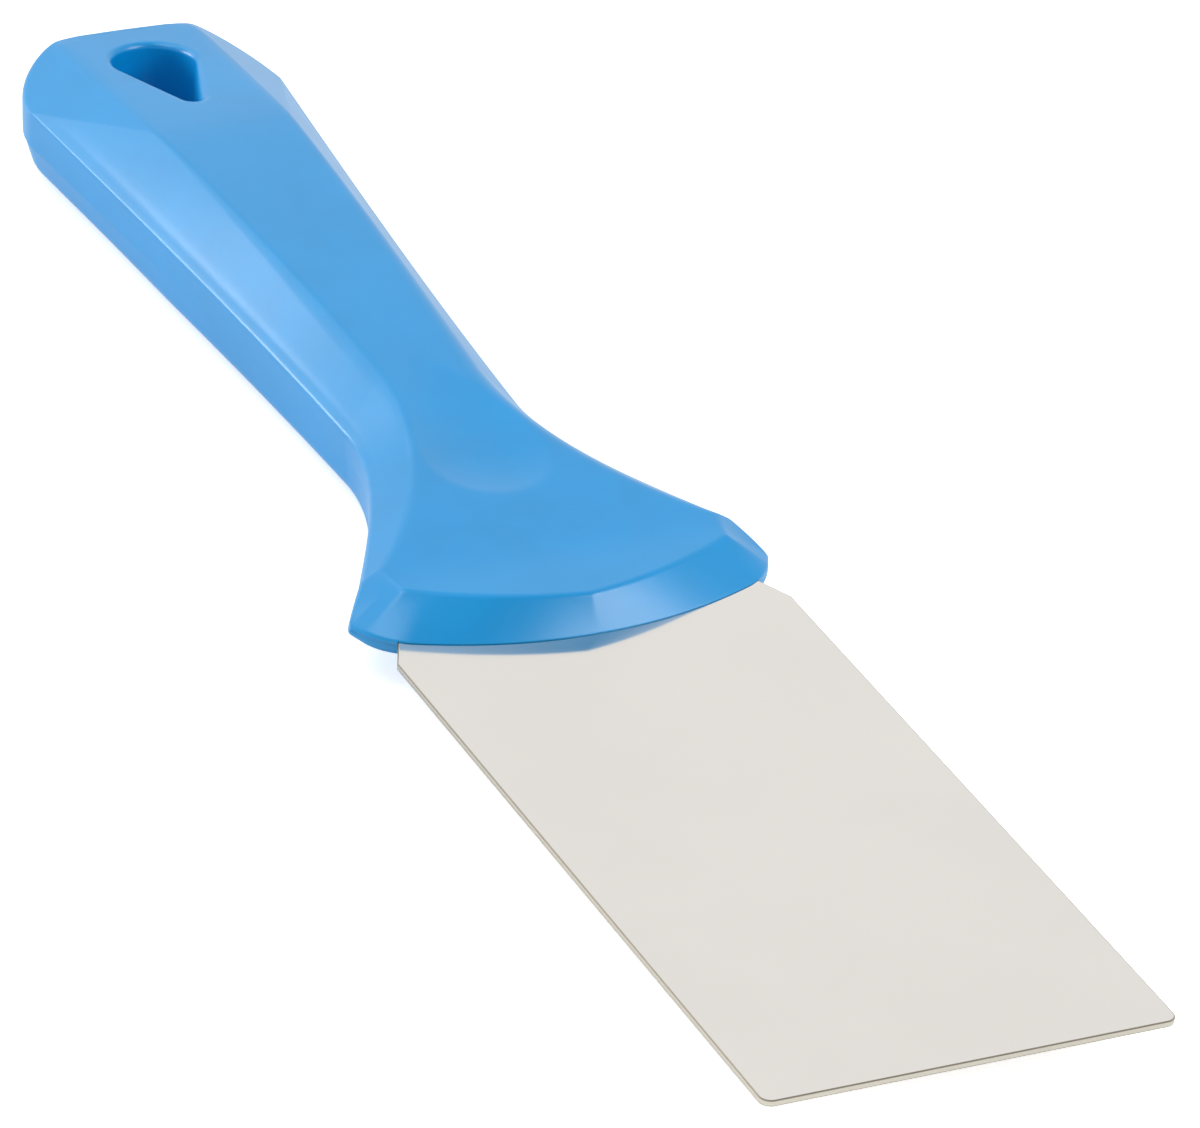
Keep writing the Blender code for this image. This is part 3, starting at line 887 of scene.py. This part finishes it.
@dataclass
class Handle:
    """The one-piece moulded handle."""

    blade: Blade
    dish: ThumbDish = field(default_factory=ThumbDish)
    hole: HangingHole = field(default_factory=HangingHole)
    length: float = 0.1430
    front_arc_radius: float = 0.0515
    bevel_front_back: float = 0.0027
    base_front_back: float = 0.0071
    lip_corner_run: float = 0.0025
    tip_lag: float = 0.0035
    shoulder_run: float = 0.0039
    flare_run: float = 0.0321
    top_neck_lag: float = 0.0030
    bend_run: float = 0.0324
    ridge_corner_run: float = 0.0122
    ridge_corner_pull: float = 0.0044
    top_corner_run: float = 0.0037
    tip_margin: float = 0.0019
    tip_bulge: float = 0.00055
    lip_corner_step: float = 0.00125
    lip_round_step: float = 0.0054
    bevel_corner_step: float = 0.0063
    shoulder_step: float = 0.0029
    top_shoulder_step: float = 0.0026
    neck_width: float = 0.0228
    neck_bevel: float = 0.0053
    grip_width: float = 0.0342
    top_bend_width: float = 0.0180
    top_back_width: float = 0.0188
    back_edge_width: float = 0.0178
    back_edge_chamfer: float = 0.0004
    back_corner_inset: float = 0.0027
    back_corner_rise: float = 0.0010
    base_head_inset: float = 0.0080
    base_side_inset: float = 0.0045
    wall_draft: float = 0.0003
    underside_depth: float = 0.0056
    underside_chamfer_rise: float = 0.0015
    lip_rise: float = 0.00012
    bevel_rise: float = 0.00388
    top_shoulder_rise: float = 0.0003
    ridge_shoulder_rise: float = 0.00268
    ridge_grip_rise: float = 0.0016
    top_bend_height: float = 0.01103
    top_back_fall: float = 0.0025
    bevel_crease_slope: float = 0.141
    ridge_flare_slope: float = -0.56
    top_flare_slope: float = -0.95
    ridge_neck_slope: float = 0.035
    ridge_grip_slope: float = 0.085
    top_climb_slope: float = 0.135
    top_front_share: float = 0.86
    lip_corner_share: float = 0.33
    lip_corner_dip: float = 0.00065
    tip_dip: float = 0.0005
    head_softness: float = 0.0004
    head_level_drop: float = 0.00004
    bend_softness: float = 0.0003
    back_softness: float = 0.0006
    back_top_inset: float = 0.0016
    flash_step: float = 0.0001
    flash_height: float = 0.00006
    valley_share: float = 0.15
    valley_spread_share: float = 0.08
    mouth_gap: float = 0.00003
    rounding_steps: int = 6
    top_columns: int = 30
    sharp_degrees: float = 42.0
    lower_flares: Knots = ((0, 0), (3, 0), (4, 0.2), (5, 1), (8, 1))
    lower_lips: Knots = ((0, 0.0011), (1, 0.0011), (1.7, 0.00115), (3, 0.00075), (8, 0.00075))
    lower_drafts: Knots = ((0, 0), (3, 0), (4, 0.00014), (5, 0.0007), (5.56, 0.0010), (5.78, 0.00145),
                           (6, 0.0018), (8, 0.0018))
    valley_depths: Knots = ((0, 0), (4.3, 0), (5, 0.00005), (5.95, 0.00005), (6, 0), (8, 0))
    under_shares: tuple[float, ...] = (0.3, 0.6, 0.9)
    wall_shares: tuple[float, ...] = (0.06, 0.3, 0.6, 0.94)
    flank_shares: tuple[float, ...] = (0.02, 0.05, 0.08, 0.11, 0.14, 0.18, 0.24, 0.32, 0.45, 0.6, 0.75,
                                       0.88, 0.97)

    @property
    def tip_half(self) -> float:
        """Half of the head's width."""
        return self.blade.width / 2 + self.tip_margin

    @property
    def tip_back(self) -> float:
        """How far back the head is widest."""
        return self.tip_half ** 2 / (2 * self.front_arc_radius) + self.tip_lag

    @property
    def shoulder_half(self) -> float:
        """Half of the width behind the head's facets."""
        return self.tip_half - self.shoulder_step

    @property
    def shoulder_back(self) -> float:
        """How far back the head's facets end."""
        return self.tip_back + self.shoulder_run

    @property
    def neck_back(self) -> float:
        """How far back the neck is narrowest."""
        return self.shoulder_back + self.flare_run

    @property
    def bend_back(self) -> float:
        """How far back the top face is highest."""
        return self.length - self.bend_run

    @property
    def lip_height(self) -> float:
        """Height of the lip's upper edge."""
        return self.blade.thickness / 2 + self.lip_rise

    @property
    def ridge_neck_height(self) -> float:
        """Height of the ridge at the head's shoulders and the neck."""
        return self.lip_height + self.ridge_shoulder_rise

    def place(self, half: float, back: float, height: float) -> Vector:
        """Gives a point from its half width, distance back from the mouth and height."""
        return self.blade.place(half, back, height)

    def top_height(self, back: float) -> float:
        """Gives the top face's height: level on the head, climbing to the bend, then falling.

        Args:
            back: The distance back from the mouth.

        Returns:
            The height above the blade's middle plane.
        """
        level = self.lip_height + self.bevel_rise - self.head_level_drop
        shoulder_height = self.lip_height + self.bevel_rise + self.top_shoulder_rise
        climb_run = self.bend_back - self.shoulder_back
        share = (back - self.shoulder_back) / climb_run
        climb = shoulder_height + self.top_climb_slope * (back - self.shoulder_back)
        if share > 0:
            climb = hermite(min(1.0, share), shoulder_height, self.top_climb_slope,
                            self.top_bend_height, 0, climb_run)
        fall_run = self.length - self.top_corner_run - self.bend_back
        fall = self.top_bend_height - self.top_back_fall * (back - self.bend_back) / fall_run
        risen = -soft_min(-level, -climb, self.head_softness)
        return soft_min(risen, fall, self.bend_softness)

    def on_top(self, point: Vector) -> Vector:
        """Moves a point up or down on to the top face."""
        back = point.y - self.blade.mouth_y
        return self.place(point.x, back, self.top_height(back))

    def topped(self, points: Rim) -> Rim:
        """Moves the points of an outline up or down on to the top face."""
        return [self.on_top(point) for point in points]

    def front_arc(self, half: float, back: float, crease: float, height: float) -> Law:
        """Gives the law of an arc along the front of the head.

        Args:
            half: The arc's half width.
            back: How far back its middle lies.
            crease: How steeply it folds back from its middle.
            height: Its height.

        Returns:
            The law, from the middle outwards.
        """
        def law(share: float) -> Vector:
            """Gives one point of the arc.

            Args:
                share: Where on the arc, from 0 to 1.

            Returns:
                The point.
            """
            across = half * share
            bent = back + crease * across + across ** 2 / (2 * self.front_arc_radius)
            return self.place(across, bent, height)
        return law

    def top_front(self) -> Law:
        """Gives the law of the top face's front edge."""
        return self.front_arc(self.tip_half - self.bevel_corner_step, self.bevel_front_back,
                              self.bevel_crease_slope, 0)

    def head_facet(self) -> tuple[Vector, Vector, Vector]:
        """Gives the facet at each side of the head.

        Returns:
            Its corners: in front, behind and below.
        """
        shoulder = self.place(self.shoulder_half - self.top_shoulder_step, self.shoulder_back, 0)
        ridge = self.place(self.shoulder_half, self.shoulder_back, self.ridge_neck_height)
        return self.on_top(self.top_front()(1)), self.on_top(shoulder), ridge

    def back_facet(self) -> tuple[Vector, Vector, Vector]:
        """Gives the facet on each back corner of the grip.

        Returns:
            Its corners: in front, behind and below.
        """
        bend = self.place(self.top_bend_width / 2, self.bend_back, 0)
        corner = self.place(self.top_back_width / 2, self.length - self.top_corner_run, 0)
        ridge = self.place(self.grip_width / 2, self.length - self.ridge_corner_run,
                           self.ridge_neck_height + self.ridge_grip_rise)
        return self.on_top(bend), self.on_top(corner), ridge

    def back_corner(self, start: Vector, end: Vector) -> Law:
        """Rounds one back corner of an outline.

        Args:
            start: Where the corner starts, on the side.
            end: Where it ends, at the back.

        Returns:
            The law of the corner.
        """
        leave = start + Vector((0, self.ridge_corner_pull, 0))
        arrive = Vector((start.x - self.back_corner_inset, end.y - self.back_corner_rise, end.z))
        return sweep(start, leave, arrive, end)

    def top_rim(self) -> Rim:
        """Draws the edge of the top face.

        Returns:
            Its half outline.
        """
        front_corner, shoulder, _ = self.head_facet()
        bend, corner, _ = self.back_facet()
        neck = self.place(self.neck_width / 2 - self.neck_bevel, self.neck_back + self.top_neck_lag, 0)
        back = self.place(0, self.length - self.back_top_inset, 0)
        pull = Vector((corner.x, back.y, 0))
        slope = (bend.x - neck.x) / (bend.y - neck.y)
        front, side = self.top_front(), blend(front_corner, shoulder)
        laws = (*halves(front, self.top_front_share), *halves(side, self.lip_corner_share),
                taper(shoulder, neck, self.top_flare_slope, 0), taper(neck, bend, slope, slope),
                blend(bend, corner), bow(corner, pull, back))
        return self.topped(rim_of(laws, back))

    def under_roof(self, facet: Sequence[Vector], point: Vector) -> Vector:
        """Moves a point up or down on to the soft roof that a facet and the top face make."""
        height = soft_min(on_plane(facet, point).z, self.on_top(point).z, self.back_softness)
        return Vector((point.x, point.y, height))

    def ridge_rim(self) -> Rim:
        """Draws the widest line of the handle: its lip in front, its ridge along the sides.

        Returns:
            Its half outline.
        """
        half = self.tip_half - self.lip_round_step
        front = self.front_arc(half, 0, 0, self.lip_height)
        ahead = Vector((1, half / self.front_arc_radius, 0)).normalized()
        chin = front(1) + ahead * self.lip_corner_run
        facet, back_facet = self.head_facet(), self.back_facet()
        lip_corner = on_plane(facet, self.place(self.tip_half - self.lip_corner_step,
                                                self.tip_back - self.lip_corner_run, 0))
        lip_corner.z -= self.lip_corner_dip
        tip = on_plane(facet, self.place(self.tip_half, self.tip_back, 0))
        tip.z -= self.tip_dip
        shoulder = facet[2]
        brow = (tip + shoulder) / 2 + Vector((self.tip_bulge, -self.tip_bulge, 0))
        neck = self.place(self.neck_width / 2, self.neck_back, self.ridge_neck_height)
        corner = back_facet[2]
        rear = self.place(self.back_edge_width / 2, self.length - self.back_edge_chamfer, 0)
        back = self.place(0, self.length, 0)
        pull = Vector((rear.x / 2, back.y, 0))
        round_corner, round_back = self.back_corner(corner, rear), bow(rear, pull, back)

        def roofed(law: Law) -> Law:
            """Puts a line of the back end on the roof that the back facet and the top face make."""
            return lambda share: self.under_roof(back_facet, law(share))
        laws = (front, bow(front(1), chin, lip_corner), blend(lip_corner, tip),
                bow(tip, on_plane(facet, brow), shoulder),
                taper(shoulder, neck, self.ridge_flare_slope, 0),
                taper(neck, corner, self.ridge_neck_slope, self.ridge_grip_slope),
                roofed(round_corner), roofed(round_back))
        return rim_of(laws, roofed(round_back)(1))

    def base_rim(self) -> Rim:
        """Draws the edge of the flat underside.

        Returns:
            Its half outline.
        """
        depth = -self.underside_depth
        end_back = self.length - self.base_side_inset
        half = self.blade.width / 2 - self.base_head_inset
        front = self.front_arc(half, self.base_front_back, self.bevel_crease_slope, depth)
        shoulder = self.place(half, self.shoulder_back, depth)
        neck = self.place(self.neck_width / 2 - self.base_side_inset, self.neck_back, depth)
        corner = self.place(self.grip_width / 2 - self.base_side_inset,
                            self.length - self.ridge_corner_run, depth)
        rear = self.place((self.back_edge_width - self.base_side_inset) / 2, end_back, depth)
        end = self.place(0, end_back, depth)
        side = blend(front(1), shoulder)
        laws = (*halves(front, self.top_front_share), *halves(side, self.lip_corner_share),
                taper(shoulder, neck, self.ridge_flare_slope, 0),
                taper(neck, corner, self.ridge_neck_slope, self.ridge_grip_slope),
                self.back_corner(corner, rear), blend(rear, end))
        return rim_of(laws, end)

    def lower_rims(self, ridge: Rim) -> tuple[Rim, Rim]:
        """Gives the parting line and the lower edge of the wall.

        Args:
            ridge: The widest line of the handle.

        Returns:
            The two outlines, set in from the ridge.
        """
        lowest = self.underside_depth - self.underside_chamfer_rise
        values = (along_rim(knots) for knots in (self.lower_flares, self.lower_lips, self.lower_drafts))
        parting, lower = [], []
        for point, into, flare, lip, draft in zip(ridge, plan_normals(ridge), *values):
            depth = lip + (lowest - lip) * math.sin(flare * math.pi / 2)
            middle = Vector((point.x, point.y, self.blade.level))
            parting.append(middle + into * (self.wall_draft * flare))
            lower.append(middle + into * draft - Vector((0, 0, depth)))
        return parting, lower

    def rounding(self, edge: Edge, before: Rim, points: Rim, after: Rim) -> list[Rim]:
        """Gives the outlines that round one long edge.

        Args:
            edge: Which edge, for how far its rounding reaches.
            before: The outline below it.
            points: The edge itself.
            after: The outline above it.

        Returns:
            Outlines from one end of the rounding to the other.
        """
        limits = EDGE_LIMITS[edge]
        firsts, lasts = [], []
        for reach, one, point, two in zip(along_rim(EDGE_REACHES[edge]), before, points, after):
            for ends, leg, limit in zip((firsts, lasts), (one - point, two - point), limits):
                ends.append(point + leg.normalized() * min(reach, limit * leg.length))
        laws = [bow(*trio) for trio in zip(untangled(firsts), points, untangled(lasts))]
        shares = [step / self.rounding_steps for step in range(self.rounding_steps + 1)]
        return [[law(share) for law in laws] for share in shares]

    def flank(self, first: Rim, last: Rim) -> list[Rim]:
        """Gives the outlines of the upper bevel, with the shallow valley above the ridge.

        Args:
            first: Where the ridge's rounding ends.
            last: Where the top edge's rounding starts.

        Returns:
            The outlines between them.
        """
        depths, normals = along_rim(self.valley_depths), plan_normals(first)
        rims = []
        for share, rim in zip(self.flank_shares, span(first, last, self.flank_shares)):
            fade = math.exp(-((share - self.valley_share) / self.valley_spread_share) ** 2)
            rims.append([point + into * depth * fade
                         for point, into, depth in zip(rim, normals, depths)])
        return rims

    def middle_line(self, rim: Rim) -> Rim:
        """Gives the line on the middle plane that an outline's points lead to.

        Args:
            rim: The outline.

        Returns:
            One point for each of its points, evenly spread at the back.
        """
        start = stations()[-2]
        line = [Vector((0, point.y, point.z)) for point in rim]
        rest = len(line) - 1 - start
        for step in range(rest + 1):
            line[start + step] = line[start].lerp(line[-1], step / rest)
        return line

    def dished(self, rim: Rim) -> Rim:
        """Lowers the points of an outline into the thumb dish."""
        mouth = self.blade.mouth_y
        return [point - Vector((0, 0, self.dish.depth_at(point.x, point.y - mouth))) for point in rim]

    def rims(self) -> list[Rim]:
        """Draws the whole handle.

        Returns:
            Every half outline, from the underside's middle up to the top face's.
        """
        top, ridge, base = self.top_rim(), self.ridge_rim(), self.base_rim()
        parting, lower = self.lower_rims(ridge)
        top, ridge, base, parting, lower = (soften(rim) for rim in (top, ridge, base, parting, lower))
        under = set_in(base, self.base_side_inset)
        face = self.topped(set_in(top, self.base_side_inset))
        flash = set_in(parting, self.flash_step, self.flash_height)
        base_round = self.rounding(Edge.BASE, under, base, lower)
        lower_round = self.rounding(Edge.LOWER, base, lower, parting)
        ridge_round = self.rounding(Edge.RIDGE, parting, ridge, top)
        top_round = self.rounding(Edge.TOP, ridge, top, face)
        top_round[-1] = self.topped(top_round[-1])
        floor = self.middle_line(base_round[0])
        crown = self.topped(self.middle_line(top_round[-1]))
        across = [column / self.top_columns for column in range(1, self.top_columns)]
        deck = [self.topped(rim) for rim in span(top_round[-1], crown, across)]
        rims = [floor, *span(floor, base_round[0], self.under_shares), *base_round]
        rims += [*span(base_round[-1], lower_round[0], self.wall_shares), *lower_round]
        rims += [*span(lower_round[-1], flash, self.wall_shares), flash, parting]
        rims += [*span(parting, ridge_round[0], self.wall_shares), *ridge_round]
        rims += [*self.flank(ridge_round[-1], top_round[0])]
        return rims + [self.dished(rim) for rim in (*top_round, *deck, crown)]

    def hole_cutter(self) -> bpy.types.Object:
        """Makes the body that cuts the hanging hole, with its rounded rims.

        Returns:
            The cutting body.
        """
        steps = self.hole.rim_steps
        curve = [(1 - math.sin(angle), 1 - math.cos(angle))
                 for angle in (math.pi / 2 * step / steps for step in range(steps + 1))]
        lift = self.hole.overrun
        levels = [(1.0, -lift, False), *((grow, sink, False) for grow, sink in curve)]
        levels += [*((grow, sink, True) for grow, sink in reversed(curve)), (1.0, -lift, True)]
        rims = []
        for grow, sink, at_top in levels:
            points = []
            for across, back, rim in self.hole.half_outline(self.length, grow):
                inside = sink * rim if sink >= 0 else sink
                height = self.top_height(back) - inside if at_top else inside - self.underside_depth
                points.append(self.place(across, back, height))
            rims.append(points)
        bm = loft(rims)
        bmesh.ops.holes_fill(bm, edges=[edge for edge in bm.edges if edge.is_boundary], sides=0)
        return finish_mesh(bm, "hanging_hole_cutter", self.sharp_degrees)

    def build(self, finish: MouldedPlastic) -> bpy.types.Object:
        """Makes the handle with its dish, its hanging hole and the slot that holds the blade.

        Args:
            finish: The plastic's finish.

        Returns:
            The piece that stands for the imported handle.
        """
        handle = finish_mesh(loft(self.rims()), "moulded_handle", self.sharp_degrees)
        slot = finish_mesh(self.blade.plate(self.mouth_gap), "blade_slot_cutter", self.sharp_degrees)
        carve(handle, [slot, self.hole_cutter()], self.sharp_degrees)
        handle.data.materials.append(finish.material())
        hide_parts("handle")
        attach(handle, BODY)
        return handle


def direction(azimuth: float, elevation: float) -> Vector:
    """Gives the unit vector of an azimuth, from the front round to the right, and an elevation."""
    turn, rise = math.radians(azimuth), math.radians(elevation)
    return Vector((math.sin(turn) * math.cos(rise), -math.cos(turn) * math.cos(rise), math.sin(rise)))


@dataclass(frozen=True)
class Softbox:
    """One large soft lamp, aimed at the scraper."""

    name: str
    azimuth: float
    elevation: float
    width: float
    height: float
    watts: float
    distance: float = 1.4

    def build(self) -> None:
        """Hangs the lamp."""
        light = bpy.data.lights.new(self.name, 'AREA')
        light.shape = 'RECTANGLE'
        light.size, light.size_y = self.width, self.height
        light.energy = self.watts
        back = direction(self.azimuth, self.elevation)
        lamp = linked(self.name, light)
        lamp.location = back * self.distance
        lamp.rotation_euler = back.to_track_quat('Z', 'Y').to_euler()


@dataclass(frozen=True)
class WorldSpot:
    """A soft round spot in the world: its middle, its reach in degrees and its strengths."""

    azimuth: float
    elevation: float
    full_degrees: float
    end_degrees: float
    inside: float
    outside: float

    def strength(self, sheet: NodeSheet) -> Socket:
        """Adds the spot's nodes.

        Args:
            sheet: The world's node tree.

        Returns:
            The strength's socket.
        """
        way = sheet.add("ShaderNodeTexCoord").outputs["Generated"]
        middle = direction(self.azimuth, self.elevation)
        toward = sheet.merge("ShaderNodeVectorMath", 'DOT_PRODUCT', way, middle).outputs["Value"]
        end, full = (math.cos(math.radians(angle)) for angle in (self.end_degrees, self.full_degrees))
        node = sheet.add("ShaderNodeMapRange", {"interpolation_type": 'SMOOTHSTEP'}, Value=toward,
                         From_Min=end, From_Max=full, To_Min=self.outside, To_Max=self.inside)
        return node.outputs["Result"]


@dataclass
class Studio:
    """The plain floor, the soft light and the camera at the photograph's angle."""

    floor_level: float = -0.0002
    floor_size: float = 4.0
    ambient: float = 0.42
    backdrop: WorldSpot = WorldSpot(167, 25, 12, 68, 1.0, 0.55)
    flag: WorldSpot = WorldSpot(8, 43, 27, 52, 0.05, 1.0)
    camera_place: Triple = (-0.39623947, -0.76238074, 0.49897704)
    camera_right: Triple = (0.8994335664, -0.4295327972, 0.0807516916)
    camera_up: Triple = (0.1533869545, 0.4832348905, 0.8619492345)
    camera_back: Triple = (-0.4092575005, -0.7628798180, 0.5005224086)
    camera_clip: Pair = (0.05, 20.0)
    lens: float = 255.0
    sensor: float = 36.0
    lamps: tuple[Softbox, ...] = (
        Softbox("low_left_box", -129, 11, 0.8, 0.36, 7.6),
        Softbox("far_left_box", -142, 27, 0.8, 0.5, 1.5),
        Softbox("far_high_box", -165, 45, 0.7, 0.7, 1.2),
        Softbox("high_left_box", -100, 66, 0.8, 0.8, 4.1),
        Softbox("right_front_box", 41, 37, 0.8, 0.75, 9.2),
    )

    def build_floor(self) -> None:
        """Lays the floor."""
        bm = bmesh.new()
        bmesh.ops.create_grid(bm, x_segments=1, y_segments=1, size=self.floor_size / 2)
        bmesh.ops.translate(bm, verts=bm.verts, vec=(0, 0, self.floor_level))
        floor = mesh_object(bm, "floor")
        floor.data.materials.append(PaleFloor().material())

    def build_world(self) -> None:
        """Fills the world with soft light, white where it is seen and flagged where it is mirrored."""
        world = bpy.data.worlds.new("studio")
        world.use_nodes = True
        sheet = NodeSheet(world.node_tree)
        mirrored = sheet.scaled(self.flag.strength(sheet), 0.0, self.backdrop.strength(sheet))
        path = sheet.add("ShaderNodeLightPath")
        shown = sheet.scaled(path.outputs["Is Glossy Ray"], 1.0, mirrored)
        strength = sheet.scaled(sheet.seen_directly(), self.ambient, shown)
        light = sheet.add("ShaderNodeBackground", Color=(1.0, 1.0, 1.0, 1.0), Strength=strength)
        sheet.add("ShaderNodeOutputWorld", Surface=light.outputs["Background"])
        bpy.context.scene.world = world

    def build_camera(self) -> None:
        """Sets up the camera."""
        data = bpy.data.cameras.new("camera")
        data.sensor_width, data.lens = self.sensor, self.lens
        data.clip_start, data.clip_end = self.camera_clip
        camera = linked("camera", data)
        axes = Matrix((self.camera_right, self.camera_up, self.camera_back)).transposed()
        camera.matrix_world = Matrix.LocRotScale(Vector(self.camera_place), axes.to_quaternion(), None)
        bpy.context.scene.camera = camera

    def build(self) -> None:
        """Builds the floor, world, lamps and camera, and sets the plain view transform."""
        self.build_floor()
        self.build_world()
        for lamp in self.lamps:
            lamp.build()
        self.build_camera()
        bpy.context.scene.view_settings.view_transform = 'Standard'


def report(piece: bpy.types.Object) -> None:
    """Logs one finished piece's name, faces and size."""
    sizes = ", ".join(f"{1000 * side:.1f}" for side in piece.dimensions)
    LOG.info("%s: %d faces, %s mm", piece.name, len(piece.data.polygons), sizes)


def write_sizes() -> None:
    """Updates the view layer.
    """
    bpy.context.view_layer.update()


def main() -> None:
    """Builds the studio, the blade and the handle, and reports each piece."""
    logging.basicConfig(level=logging.INFO, format="%(name)s %(message)s")
    Studio().build()
    blade = Blade()
    report(blade.build(FLAT_STEEL, CUT_STEEL_PAINTED_SHADE, PAINTED_SHADOW_LINE_STEEL))
    report(Handle(blade).build(BLUE_PLASTIC))
    write_sizes()


if __name__ == "__main__":
    main()
